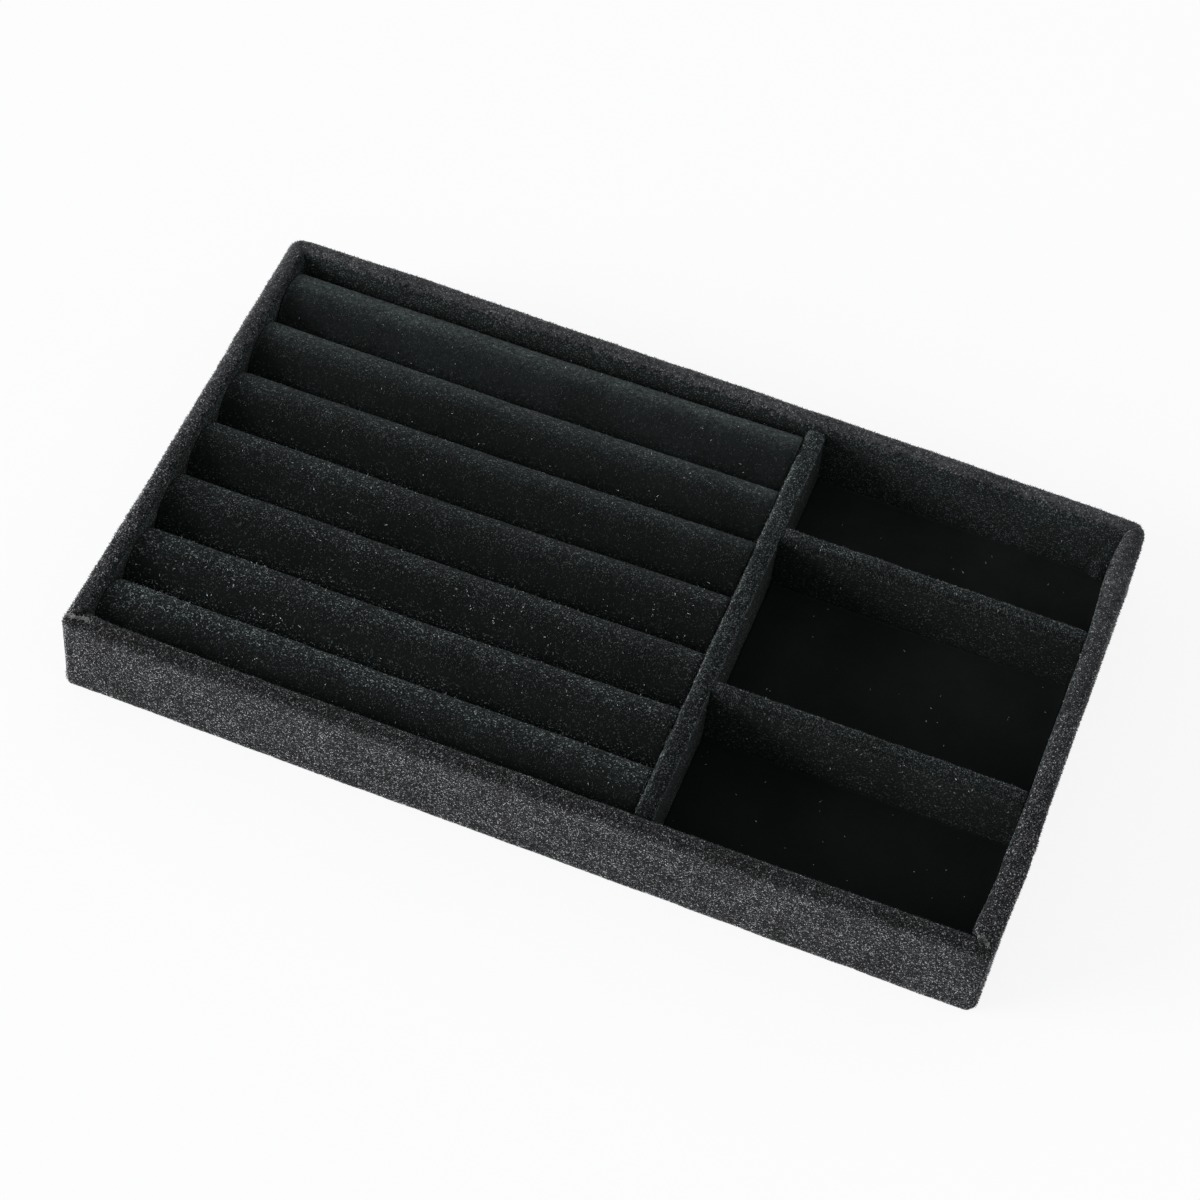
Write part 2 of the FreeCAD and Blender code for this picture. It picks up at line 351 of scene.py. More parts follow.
def paper_finish(name, dark, pale, flecks_to_metre, roughness):
    """Pressed paper with flecks between two colours."""
    material, tree = node_material(name)
    flecks = textured(tree, "TexNoise", flecks_to_metre, Detail=6.0, Roughness=0.7).outputs["Fac"]
    colour = ramp(tree, flecks, [(dark_until, dark), (pale_from, pale)])
    normal = bumped(tree, flecks, strength=0.3, rise=paper_rise)
    surface = shader_node(tree, "BsdfPrincipled", {
        "Base Color": colour, "Normal": normal, "Roughness": roughness, "Specular IOR Level": 0.25})
    shader_node(tree, "OutputMaterial", {"Surface": surface.outputs[0]})
    return material


grey_board = paper_finish("grey_board", (0.11, 0.1, 0.09), (0.24, 0.22, 0.2), 900, 0.85)
black_card = paper_finish("black_card", (0.008, 0.008, 0.009), (0.025, 0.025, 0.026), 1400, 0.75)
black_paper = paper_finish("black_paper", (0.012, 0.012, 0.013), (0.03, 0.03, 0.031), 1100, 0.7)
for name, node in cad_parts.items():
    node.data.materials.clear()
    node.data.materials.append(grey_board if name.endswith("board") else black_card)
print("finished CAD nodes:", len(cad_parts))

# %% [markdown]
# ## From flat cloth to covered board
# Every velvet piece of the tray starts flat on the cutting table. It could be modelled as a solid with
# rounded edges, but then nobody would know how much cloth it takes. So a grid is the flat cut, and each of
# its points moves to where the cloth lies on the board. The section across a board is a path of straight
# runs and rounded corners, with points close together on the rims, where the outline shows.

# %% Sections
arc_points, path_step = 25, 0.05


def steps(path):
    """The lengths of the steps from each point of a path to the next."""
    return np.linalg.norm(np.diff(path, axis=0), axis=1)


def rounded_path(corners, radii):
    """A path through the corners with each inner corner rounded, as points about one path step apart."""
    corners = [np.array(corner, float) for corner in corners]
    quarter = np.linspace(0, math.pi / 2, arc_points)[:, None]
    path = [corners[0][None]]
    for before, corner, after, radius in zip(corners, corners[1:], corners[2:], radii):
        if not radius:
            path.append(corner[None])
            continue
        towards = (before - corner) / np.linalg.norm(before - corner)
        away = (after - corner) / np.linalg.norm(after - corner)
        centre = corner + radius * (towards + away)
        path.append(centre - radius * (away * np.cos(quarter) + towards * np.sin(quarter)))
    path = np.vstack(path + [corners[-1][None]])
    run = np.concatenate([[0], np.cumsum(steps(path))])
    even = np.linspace(0, run[-1], int(run[-1] / path_step))
    return np.column_stack([np.interp(even, run, path[:, axis]) for axis in (0, 1)])


def spaced(path, gap):
    """Points picked along a path, with the gap between them that gap(heights) asks for at each place."""
    heights = ((path[1:] + path[:-1]) / 2)[:, 1]
    count = np.concatenate([[0], np.cumsum(steps(path) / gap(heights))])
    wanted = np.linspace(0, count[-1], int(np.ceil(count[-1])) + 1)
    return np.column_stack([np.interp(wanted, count, path[:, axis]) for axis in (0, 1)])


print("sections are drawn every", path_step, "mm")

# %% Flat cuts
def flat_cut(columns, rows):
    """A flat cloth of that many cells, and the column and the row that each of its points lies in."""
    cloth = bmesh.new()
    bmesh.ops.create_grid(cloth, x_segments=columns, y_segments=rows, size=0.5)
    cloth.verts.index_update()
    flat = np.array([point.co for point in cloth.verts])
    column = np.rint((flat[:, 0] + 0.5) * columns).astype(int)
    row = np.rint((flat[:, 1] + 0.5) * rows).astype(int)
    return cloth, column, row


def quarter_turned(places, turns):
    """Places turned round the middle of the tray by quarter turns."""
    return places @ np.array(Matrix.Rotation(turns * math.pi / 2, 3, "Z")).T


def lay(cloth, places):
    """Moves the points of a cloth to places in millimetres."""
    for point, place in zip(cloth.verts, places * mm):
        point.co = place
    cloth.normal_update()


def raise_pile(cloth, heights):
    """Lifts each point of a cloth along its normal by a height in millimetres."""
    for point, normal, height in zip(cloth.verts, [v.normal.copy() for v in cloth.verts], heights * mm):
        point.co += normal * height


print("a millimetre is", mm, "in Blender")

# %% Unevenness
seed_shifts = 7.3, 3.1, 5.7


def uneven(places, wave, seed):
    """A soft random height from -1 to 1 at each place, with waves of about that many millimetres."""
    shift = Vector([seed * step for step in seed_shifts])
    return np.array([noise.noise(Vector(place) / wave + shift) for place in places])


def waves(places, seed, *sizes):
    """Soft waves added up; each size is a height and a length in millimetres."""
    return sum(height * uneven(places, long, seed + number) for number, (height, long) in enumerate(sizes))


def rough(count, spread, seed):
    """A random value for each point, with one spread for all or one for each."""
    return np.random.default_rng(seed).normal(0, 1, count) * spread


print("rough heights:", rough(3, 1.0, 1).round(2))

# %% Finished pieces and the roots of loose fibres
fuzz_roots = {"tray": [], "ring_pad": []}
lint_roots = {"tray": [], "ring_pad": []}


def finished(name, cloth, materials, body, stands_for):
    """Makes the cloth a smooth object that rides on a body and stands for CAD nodes."""
    piece = added(name, as_mesh(name, cloth))
    for material in materials:
        piece.data.materials.append(material)
    piece.data.shade_smooth()
    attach(piece, body)
    if stands_for:
        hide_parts(*stands_for)
    return piece


def thicken(piece, thickness):
    """Gives a cloth its thickness, inwards from the pile side."""
    solid = piece.modifiers.new("cloth_thickness", "SOLIDIFY")
    solid.thickness = thickness * mm
    solid.offset = -1


def pick_roots(cloth, wanted, count, seed):
    """Places and normals of some of a cloth's wanted points, as roots of loose fibres."""
    picked = np.random.default_rng(seed).choice(np.flatnonzero(wanted), count)
    points = list(cloth.verts)
    return np.array([(points[i].co / mm, points[i].normal) for i in picked])


print("bodies to dress:", list(fuzz_roots))

# %% [markdown]
# ## Wall velvet
# One strip covers each wall. It starts as a hem under the base, turns up round the foot, goes up the outside,
# over the rim and down the inside to the base. At both ends the strip is cut at 45 degrees and meets its
# neighbour in a seam. One ring of cloth round all the walls would be quicker to make, but it would have no
# seams. The boards are straight, but glued cloth never is: each rim bows a little and is slightly uneven.
# Along the inner edge of the rim the brushed nap gives way to the flat one, on a ragged line, and the
# darker inner velvet beyond it is partly painted shade.

# %% Section across a wall
half_length, half_width = span("right_wall_velvet", X)[1], span("back_wall_velvet", Y)[1]
hem_height, tray_height = span("back_wall_velvet", Z)
board_inside, board_outside = span("back_wall_board", Y)
wall_thickness = round(board_outside - board_inside + 2 * (half_width - board_outside), 2)
base_top = span("base_board", Z)[1]
hem_reach = half_width - span("back_wall_velvet", Y)[0]
hem_end, foot_start, foot_height = 3.9, 2.9, 0.15
foot_round, rim_outer_round, rim_inner_round = 1.2, 2.3, 2.0
rim_zone, rim_gap, face_zone, face_gap, hem_gap = 22.5, 0.38, 2.0, 1.0, 1.2
wall_path = rounded_path(
    [(hem_reach, hem_height), (hem_end, hem_height), (foot_start, foot_height), (0, foot_height),
     (0, tray_height), (wall_thickness, tray_height), (wall_thickness, base_top)],
    [0, 0, foot_round, rim_outer_round, rim_inner_round],
)


def wall_gap(heights):
    """The gap between points of the wall's section, which is small on the rim."""
    return np.where(heights > rim_zone, rim_gap, np.where(heights > face_zone, face_gap, hem_gap))


wall_section = spaced(wall_path, wall_gap)
print("wall section:", len(wall_section), "rows, wall thickness:", wall_thickness, "mm")

# %% Places along a wall
corner_columns, corner_reach, column_gap, least_bend = 40, 18.0, 0.45, 1e-6


def end_of_wall(half_length, rounding, start):
    """Places, insets and runs left to the seam at the end of a strip, half way round a corner."""
    inset = wall_section[:, :1]
    bend = np.maximum(rounding - inset, 0)
    turn_at = np.where(inset < rounding, half_length - rounding, half_length - inset)
    reach = turn_at + bend * math.pi / 4
    run = start + (reach - start) * np.linspace(0, 1, corner_columns + 1)[None, 1:]
    angle = np.where(bend > 0, np.clip(run - turn_at, 0, None) / np.maximum(bend, least_bend), 0)
    place = np.minimum(run, turn_at) + bend * np.sin(angle)
    return place, inset + bend * (1 - np.cos(angle)), reach - run


def along_wall(half_length, first_round, last_round):
    """The place along the wall, the inset and the run left to the seam, for each row and column."""
    straight_end = half_length - corner_reach
    straight = np.arange(-straight_end, straight_end + column_gap / 2, column_gap)
    first = [values[:, ::-1] for values in end_of_wall(half_length, first_round, -straight[0])]
    last = end_of_wall(half_length, last_round, straight[-1])
    flat = np.ones((len(wall_section), 1))
    place = np.hstack([-first[0], flat * straight, last[0]])
    inset = np.hstack([first[1], np.repeat(wall_section[:, :1], len(straight), 1), last[1]])
    left = np.hstack([first[2], flat * (half_length - np.abs(straight)), last[2]])
    return place, inset, left


print("columns on each side of a seam:", corner_columns)

# %% Shape of a wall strip
still_height, bow_power, rise_powers = 5.0, 4, (2, 12)
corner_pull, pull_reach = 0.5, 9.0
fold_width, fold_margin = 5.0, 0.5


def standing_out(row, at, seam, half_length, bow, bulges):
    """How far each point of the cloth stands out from a straight wall, and how far up it is."""
    from_outside, height = wall_section[row].T
    climb = np.clip((height - still_height) / (tray_height - still_height), 0, 1)
    across = 0, wall_thickness
    out = np.interp(from_outside, across, bow) * (1 - (at / half_length) ** bow_power)
    out *= climb ** np.interp(from_outside, across, rise_powers)
    for centre, reach, outer, inner, seam_fade in bulges:
        swelling = np.interp(from_outside, across, (outer, inner)) * np.exp(-((at - centre) / reach) ** 2)
        out += swelling * climb ** 2 * (1 - np.exp(-(seam / seam_fade) ** 2))
    return out, climb


def drawn_to_corner(laid, climb):
    """Draws the upper part of the back right corner a little to the left, where the cloth is tight."""
    from_corner = (laid[:, :2] - (half_length, half_width)) / pull_reach
    laid[:, 0] -= corner_pull * climb ** 2 * np.exp(-(from_corner ** 2).sum(axis=1))
    return laid


def fold_rise(laid, into, folds):
    """How far folds of loose cloth stand off the inner face; each has a foot, a top and a slope."""
    inner_face = (into > wall_thickness - fold_margin) & (laid[:, 2] >= base_top)
    rise = np.zeros(len(laid))
    for foot, top, slope in folds:
        run, climb = top[0] - foot[0], top[1] - foot[1]
        beyond = ((laid[:, 0] - foot[0]) * climb - (laid[:, 2] - foot[1]) * run) / math.hypot(run, climb)
        rise += slope * np.clip(beyond, 0, fold_width) * inner_face
    return rise


print("walls bow above", still_height, "mm")

# %% Pile and nap of a wall strip
rim_pile, face_pile, seam_reach = 0.035, 0.02, 4.0
wall_waves, corner_seed = ((0.16, 17), (0.1, 5)), 60
groove_zone, low_groove_share, groove_width, nap_and_shade_blur = 23.0, 0.35, 0.55, 1.4


def wall_pile(laid, at, into, seam, seams, seed, folds):
    """The height of the pile; near a seam all strips share one wave, so that they meet."""
    height = laid[:, 2]
    from_seam = np.clip(seam / seam_reach, 0, 1)
    pile = rough(len(laid), np.where(height > rim_zone, rim_pile, face_pile), seed)
    soft = waves(laid, seed, *wall_waves) * from_seam
    soft += waves(laid, corner_seed, wall_waves[0]) * (1 - from_seam)
    soft += fold_rise(laid, into, folds) * from_seam
    depth = np.where(at < 0, *seams) * np.where(height > groove_zone, 1, low_groove_share)
    return pile * from_seam + soft - depth * np.exp(-(seam / groove_width) ** 2)


def flat_nap_and_painted_shade_inside(cloth, row, seed):
    """Faces past the rim's inner edge get the darker velvet: flat nap and painted shade, on a ragged line."""
    from_outside, height = wall_section[row].T
    run_past = from_outside - wall_thickness + tray_height - height
    past_rim = np.where(from_outside > wall_thickness / 2, run_past, -height)
    past_rim += rough(len(row), nap_and_shade_blur, seed)
    for face in cloth.faces:
        face.material_index = int(sum(past_rim[point.index] for point in face.verts) > 0)


print("nap changes within about", nap_and_shade_blur, "mm")

# %% One strip of wall velvet
cover_thickness = 0.7
rim_fuzz, rim_fuzz_zone, rim_fuzz_margin = 4096, 24.0, 0.2
foot_fuzz, foot_fuzz_zone, foot_fuzz_depth = 2048, (0.8, 4.0), 1.5
wall_lint, wall_lint_zone = 32, 8.0


def wall_strip(side, quarter_turns, half_length, half_depth, roundings, seams, bow, bulges, seed, folds=()):
    """A velvet strip over one wall, made as for the front one and turned to its side."""
    place, inset, left = along_wall(half_length, *roundings)
    rows, columns = place.shape
    cloth, column, row = flat_cut(columns - 1, rows - 1)
    at, into, seam = place[row, column], inset[row, column], left[row, column]
    height = wall_section[row, 1]
    out, climb = standing_out(row, at, seam, half_length, bow, bulges)
    straight = np.column_stack([at, into - out - half_depth, height])
    laid = drawn_to_corner(quarter_turned(straight, quarter_turns), climb)
    lay(cloth, laid)
    raise_pile(cloth, wall_pile(laid, at, into, seam, seams, seed, folds))
    on_rim = (height > rim_fuzz_zone) & (into < wall_thickness - rim_fuzz_margin)
    at_foot = (height > foot_fuzz_zone[0]) & (height < foot_fuzz_zone[1]) & (into < foot_fuzz_depth)
    fuzz_roots["tray"].append(pick_roots(cloth, on_rim, rim_fuzz, seed))
    fuzz_roots["tray"].append(pick_roots(cloth, at_foot, foot_fuzz, seed + 1))
    lint_roots["tray"].append(pick_roots(cloth, height > wall_lint_zone, wall_lint, seed + 2))
    flat_nap_and_painted_shade_inside(cloth, row, seed + 3)
    finishes, stands_for = [outer_velvet, inner_velvet], [f"{side}_wall_velvet"]
    piece = finished(f"{side}_wall_cover", cloth, finishes, "tray", stands_for)
    thicken(piece, cover_thickness)
    return piece


print("fibres on a wall strip:", rim_fuzz + foot_fuzz + wall_lint)

# %% The four wall strips
# A bulge: its centre along the wall, its reach, how far both edges stand out, and its fade at a seam.
front_left, front_right, back_right, back_left = 1.7, 2.8, 3.4, 3.4
deep_seam, faint_seam = 0.4, 0.02
no_fade, corner_fade = 0.01, 3.0
back_fold = ((109.4, 9.0), (115.2, 27.0), 0.45)
wall_strips = [
    wall_strip(
        "front", 0, half_length, half_width, (front_left, front_right), seams=(deep_seam, deep_seam),
        bow=(0.6, 0.95), bulges=[(-117, 5, 0, -1.0, no_fade)], seed=1),
    wall_strip(
        "right", 1, half_width, half_length, (front_right, back_right), seams=(deep_seam, faint_seam),
        bow=(0.6, 0), bulges=[(-67, 13, 0, -1.5, no_fade), (-44, 15, 0.7, -0.3, no_fade),
                              (36, 12, -0.4, 0, no_fade), (52, 12, 0, -1.4, corner_fade)], seed=4),
    wall_strip(
        "back", 2, half_length, half_width, (back_right, back_left), seams=(faint_seam, faint_seam),
        bow=(1.1, 0.1), bulges=[(90, 32, 0.4, 0, corner_fade), (-103, 18, 0.25, 0, corner_fade)], seed=7,
        folds=[back_fold]),
    wall_strip(
        "left", 3, half_width, half_length, (back_left, front_left), seams=(faint_seam, deep_seam),
        bow=(-0.2, -0.2), bulges=[(22, 25, -0.25, 0, no_fade), (-46, 12, 0.2, 0, no_fade)], seed=10),
]
print("wall strips:", [(piece.name, len(piece.data.polygons)) for piece in wall_strips])

# %% [markdown]
# ## Divider velvet
# A divider is a strip of card with velvet folded over it, like a saddle. The fold is the top edge, and the
# skirts hang down to the floor on both sides. The long one parts the rings from the compartments, and two
# short ones part the compartments. A simulation could drape the cloth, but it is glued down, so a wrapped
# section is truer. The nap is brushed up along the fold and lies flat on the skirts. The skirts get a darker
# velvet, partly for the flat nap and partly as painted shade, and the faces that look to the front get it
# as painted shade.

# %% Divider covers
divider_round, pile_rise, skirt_gap, fold_zone = 1.5, 0.25, 1.0, 5.0
end_dip, dip_reach, top_zone = 0.5, 1.2, 4.0
fold_pile, divider_waves = 0.04, ((0.14, 14), (0.1, 4))
fold_fuzz, fold_fuzz_zone, divider_lint, divider_lint_zone = 2048, 1.6, 64, 12.0
flat_nap_and_shade_zone, facing_front = 2.5, -0.55


def divider_cover(name, quarter_turns, seed):
    """Velvet folded over a divider card that runs along X, or along Y after a quarter turn."""
    node = f"{name}_velvet"
    start, end = span(node, Y if quarter_turns else X)
    low, high = span(node, X if quarter_turns else Y)
    middle = round((low + high) / 2, 2) * (-1 if quarter_turns else 1)
    half, top = round(high - low, 2) / 2, span(node, Z)[1]
    saddle = [(-half, base_top), (-half, top + pile_rise), (half, top + pile_rise), (half, base_top)]
    section = spaced(rounded_path(saddle, [divider_round] * 2),
                     lambda heights: np.where(heights > top - fold_zone, rim_gap, skirt_gap))
    columns = int((end - start) / column_gap)
    cloth, column, row = flat_cut(columns, len(section) - 1)
    along = start + (end - start) * column / columns
    to_end = np.minimum(along - start, end - along)
    from_middle, height = section[row].T
    height = height - end_dip * np.exp(-(to_end / dip_reach) ** 2) * (height > top - top_zone)
    laid = quarter_turned(np.column_stack([along, from_middle + middle, height]), quarter_turns)
    lay(cloth, laid)
    pile = rough(len(laid), np.where(height > top - top_zone, fold_pile, face_pile), seed)
    raise_pile(cloth, pile + waves(laid, seed, *divider_waves))
    fuzz_roots["tray"].append(pick_roots(cloth, height > top - fold_fuzz_zone, fold_fuzz, seed))
    lint_roots["tray"].append(pick_roots(cloth, height > divider_lint_zone, divider_lint, seed + 1))
    # Painted shade, in part: the skirts and the faces that look to the front take the darker divider velvet.
    for face in cloth.faces:
        on_skirt = face.calc_center_median().z < (top - flat_nap_and_shade_zone) * mm
        face.material_index = int(face.normal.y < facing_front or on_skirt)
    piece = finished(f"{name}_cover", cloth, [edge_velvet, divider_velvet], "tray", [node])
    thicken(piece, cover_thickness)
    return piece


divider_covers = [
    divider_cover("long_divider", 1, seed=20),
    divider_cover("rear_divider", 0, seed=23),
    divider_cover("front_divider", 0, seed=26),
]
print("divider covers:", [(piece.name, len(piece.data.polygons)) for piece in divider_covers])

# %% [markdown]
# ## Floor linings and the sheet under the tray
# A lining is velvet on a thin card, pushed down into its compartment. It could be one flat face, but it fits
# snugly, so its edge turns up a hair against the walls and shows as a faint line. A fine grid gives that
# edge and the unevenness of the pile. The sheet under the tray is glued flat over the hems.

# %% Floor linings
lining_gap, edge_turn, edge_reach, lining_thickness = 0.9, 0.3, 0.8, 0.5
lining_wave, lining_lint, lint_margin = (0.08, 15), 24, 1.0


def lining(name, seed):
    """A flat cloth on the floor of a compartment, with its edge turned up a little."""
    node = f"{name}_floor_velvet"
    low_x, high_x = span(node, X)
    low_y, high_y = span(node, Y)
    top = span(node, Z)[1]
    size = np.array((high_x - low_x, high_y - low_y))
    columns, rows = (int(side / lining_gap) for side in size)
    cloth, column, row = flat_cut(columns, rows)
    x = low_x + size[0] * column / columns
    y = low_y + size[1] * row / rows
    to_edge = np.minimum(np.minimum(x - low_x, high_x - x), np.minimum(y - low_y, high_y - y))
    laid = np.column_stack([x, y, top + edge_turn * np.exp(-(to_edge / edge_reach) ** 2)])
    lay(cloth, laid)
    raise_pile(cloth, rough(len(laid), face_pile, seed) + waves(laid, seed, lining_wave))
    lint_roots["tray"].append(pick_roots(cloth, to_edge > lint_margin, lining_lint, seed))
    piece = finished(f"{name}_floor_lining", cloth, [floor_velvet], "tray", [node])
    thicken(piece, lining_thickness)
    return piece


linings = [lining("rear", seed=30), lining("middle", seed=31), lining("front", seed=32)]
print("floor linings:", [(piece.name, len(piece.data.polygons)) for piece in linings])

# %% Sheet under the tray
sheet_thickness, sheet_columns, sheet_rows = 0.55, 120, 70
sheet_lift, sheet_wave, sheet_seed = 0.02, (0.02, 22), 61
sheet_size = 2 * np.array([span("underside_sheet", axis)[1] for axis in (X, Y)])
under_sheet, column, row = flat_cut(sheet_columns, sheet_rows)
shares = np.column_stack([column / sheet_columns, row / sheet_rows])
laid = np.column_stack([(shares - 0.5) * sheet_size, np.zeros(len(row))])
laid[:, 2] = sheet_lift + waves(laid, sheet_seed, sheet_wave)
lay(under_sheet, laid)
bmesh.ops.reverse_faces(under_sheet, faces=under_sheet.faces)
underside = finished("underside_cover", under_sheet, [black_paper], "tray", ["underside_sheet"])
thicken(underside, sheet_thickness)
print("underside sheet:", len(underside.data.polygons), "faces")

# %% [markdown]
# ## Ring rolls
# A ring roll is a bar of soft foam with a velvet cover pulled tight round it and glued underneath. Rings are
# pressed into the slots between the rolls. A roll could be half a cylinder, but no real one is straight:
# each crown sways a little from its left end to its right end. So the cover is a flat cut as long as the
# roll and as wide as the way round it. It is wrapped until its long edges meet underneath, and its ends are
# closed. Foam presses on its cover, so the wrap starts slightly too tight, and a short cloth simulation with
# pressure inside lets the crown find its own shape. The sides lean on the neighbouring rolls, so they are
# held. The simulation runs on coarse wraps, and the fine cover takes over their moves.

# %% Section round a roll
roll_count = 7
roll_numbers = range(1, roll_count + 1)
pad_left, pad_right = span("ring_pad_card", X)
roll_front, pad_back = span("ring_roll_1_velvet", Y)
roll_bottom, roll_crown = span("ring_roll_1_velvet", Z)
roll_width = round(pad_back - roll_front, 2)
roll_pitch = round(pad_back - span("ring_roll_2_velvet", Y)[1], 2)
half_roll, lower_round = roll_width / 2, 0.8
crown_zone, crown_gap, side_gap = 18.0, 0.42, 1.1
roll_path = rounded_path(
    [(0, roll_bottom), (-half_roll, roll_bottom), (-half_roll, roll_crown), (half_roll, roll_crown),
     (half_roll, roll_bottom), (0, roll_bottom)],
    [lower_round, half_roll, half_roll, lower_round],
)
roll_section = spaced(roll_path, lambda heights: np.where(heights > crown_zone, crown_gap, side_gap))
print("roll section:", len(roll_section), "rows, pitch of the rolls:", roll_pitch, "mm")

# %% Shape of a roll
# A sway says how far a crown stands up and back at its left end, in the middle and at its right end.
end_length, end_fall, end_draw_in, end_power = 1.3, 0.3, 0.15, 2.2
lean_share, rise_share, tightness = 0.5, 0.68, 0.05
roll_sways = [
    (-0.2, 0.5, 2.6), (-0.45, -0.45, 1.1), (-1.2, -0.1, 1.6), (-1.35, -1.0, 1.0), (-1.8, -1.2, 0.1),
    (-2.3, -1.75, 0.9), (-0.75, -0.7, 0.1),
]


def roll_places(number, share, section):
    """Where points of a roll's tight wrap lie, and how far up its section each one is."""
    along = pad_left + (pad_right - pad_left) * share
    to_end = np.minimum(along - pad_left, pad_right - along)
    end_share = np.clip(1 - to_end / end_length, 0, 1) ** end_power
    tall = (section[:, 1] - roll_bottom) / (roll_crown - roll_bottom)
    across = section[:, 0] * (1 - (tightness + end_draw_in * end_share) / half_roll)
    swayed = tall ** 2 * np.interp(share, (0, 0.5, 1), roll_sways[number - 1])
    height = section[:, 1] + rise_share * swayed - tall * (tightness + end_fall * end_share)
    middle = pad_back - half_roll - roll_pitch * (number - 1) + lean_share * swayed
    return np.column_stack([along, middle + across, height]), tall


print("crowns sway by up to", max(max(map(abs, sway)) for sway in roll_sways), "mm")

# %% Coarse wraps
wrap_columns, wrap_gap, held_share, foam_pressure = 72, 1.6, 0.45, 4.0
wrap_section = spaced(roll_path, lambda heights: np.full(len(heights), wrap_gap))
wrap_rows = len(wrap_section) - 1


def coarse_wrap(number):
    """A coarse wrap of a roll, held at its ends and low on its sides, ready to swell."""
    cloth, column, row = flat_cut(wrap_columns, wrap_rows)
    places, tall = roll_places(number, column / wrap_columns, wrap_section[row])
    lay(cloth, places)
    name = f"coarse_wrap_{number}"
    wrap = added(name, as_mesh(name, cloth))
    glued = wrap.vertex_groups.new(name="glued")
    held = (tall < held_share) | (column == 0) | (column == wrap_columns)
    glued.add(np.flatnonzero(held).tolist(), 1, "REPLACE")
    settings = wrap.modifiers.new("swelling", "CLOTH").settings
    settings.vertex_group_mass = glued.name
    settings.use_pressure = True
    settings.uniform_pressure_force = foam_pressure
    settings.effector_weights.gravity = 0
    return wrap, places, column, row


print("a coarse wrap has", wrap_columns * wrap_rows, "cells")

# %% Swelling under the cover
swell_frames, swell_cap = 12, 0.4
grid_shape = wrap_rows + 1, wrap_columns + 1, 3


def swollen(wraps):
    """Runs the simulation, and gives each wrap's moves as a grid, with none above the cap."""
    for step in range(1, swell_frames + 1):
        bpy.context.scene.frame_set(step)
    graph = bpy.context.evaluated_depsgraph_get()
    grids = []
    for wrap, places, column, row in wraps:
        moves = np.array([point.co / mm for point in wrap.evaluated_get(graph).data.vertices]) - places
        reach = np.maximum(np.linalg.norm(moves, axis=1, keepdims=True), swell_cap)
        grid = np.zeros(grid_shape)
        grid[row, column] = moves * swell_cap / reach
        grids.append(grid)
    for wrap, *_ in wraps:
        bpy.data.objects.remove(wrap)
    bpy.context.scene.frame_set(1)
    return grids


swellings = swollen([coarse_wrap(number) for number in roll_numbers])
print("covers move by up to", [round(float(np.abs(grid).max()), 2) for grid in swellings], "mm")

# %% Lint on a roll
dust_zone, dust_wave, dust_seed, dust_level = 17.0, 28, 5, -0.05
rear_lint, front_lint, first_front_roll = 48, 128, 4
cluster_zone, cluster_middle, cluster_reach = 19.0, -90, 22
cluster_wave, cluster_seed, cluster_level, cluster_lint, first_cluster_roll = 6, 8, 0.15, 112, 6


def roll_lint(cloth, laid, number, seed):
    """Roots of a roll's lint: more on the front rolls, and a cluster at the left of the last two."""
    height = laid[:, 2]
    dusty = (height > dust_zone) & (uneven(laid, dust_wave, dust_seed) > dust_level)
    roots = [pick_roots(cloth, dusty, rear_lint if number < first_front_roll else front_lint, seed)]
    if number >= first_cluster_roll:
        left_end = (height > cluster_zone) & (np.abs(laid[:, 0] - cluster_middle) < cluster_reach)
        clustered = left_end & (uneven(laid, cluster_wave, cluster_seed) > cluster_level)
        roots.append(pick_roots(cloth, clustered, cluster_lint, seed + 1))
    return roots


print("lint on a rear and on a front roll:", rear_lint, front_lint)

# %% The seven rolls
roll_waves, merge_distance = ((0.14, 19), (0.09, 4.5)), 0.01
first_roll_seed, seeds_to_roll = 40, 3
crown_fuzz, crown_fuzz_zone = 2048, 23.0


def on_grid(grid, row_share, column_share):
    """Values of a grid between its points."""
    rows, columns = row_share * (grid.shape[0] - 1), column_share * (grid.shape[1] - 1)
    row = np.minimum(rows.astype(int), grid.shape[0] - 2)
    column = np.minimum(columns.astype(int), grid.shape[1] - 2)
    down, over = (rows - row)[:, None], (columns - column)[:, None]
    upper = grid[row, column] * (1 - over) + grid[row, column + 1] * over
    lower = grid[row + 1, column] * (1 - over) + grid[row + 1, column + 1] * over
    return upper * (1 - down) + lower * down


def ring_roll(number, swelling):
    """A padded roll: the fine wrap, moved as the coarse one swelled, with its pile and closed ends."""
    columns, rows = int((pad_right - pad_left) / column_gap), len(roll_section) - 1
    cloth, column, row = flat_cut(columns, rows)
    share = column / columns
    run = np.concatenate([[0], np.cumsum(steps(roll_section))])
    places, tall = roll_places(number, share, roll_section[row])
    laid = places + on_grid(swelling, (run / run[-1])[row], share)
    lay(cloth, laid)
    height = laid[:, 2]
    seed = first_roll_seed + seeds_to_roll * number
    pile = rough(len(laid), np.where(height > crown_zone, rim_pile, face_pile), seed)
    under = (row == 0) | (row == rows)
    raise_pile(cloth, np.where(under, 0, pile + waves(laid, seed, *roll_waves) * tall))
    fuzz_roots["ring_pad"].append(pick_roots(cloth, height > crown_fuzz_zone, crown_fuzz, seed))
    lint_roots["ring_pad"].extend(roll_lint(cloth, laid, number, seed + 1))
    bmesh.ops.remove_doubles(cloth, verts=cloth.verts, dist=merge_distance * mm)
    bmesh.ops.holes_fill(cloth, edges=[edge for edge in cloth.edges if edge.is_boundary], sides=0)
    node = f"ring_roll_{number}"
    piece = finished(f"{node}_cover", cloth, [roll_velvet], "ring_pad", [f"{node}_velvet", f"{node}_foam"])
    return piece


rolls = [ring_roll(number, swelling) for number, swelling in zip(roll_numbers, swellings)]
print("ring rolls:", [(piece.name, len(piece.data.polygons)) for piece in rolls])

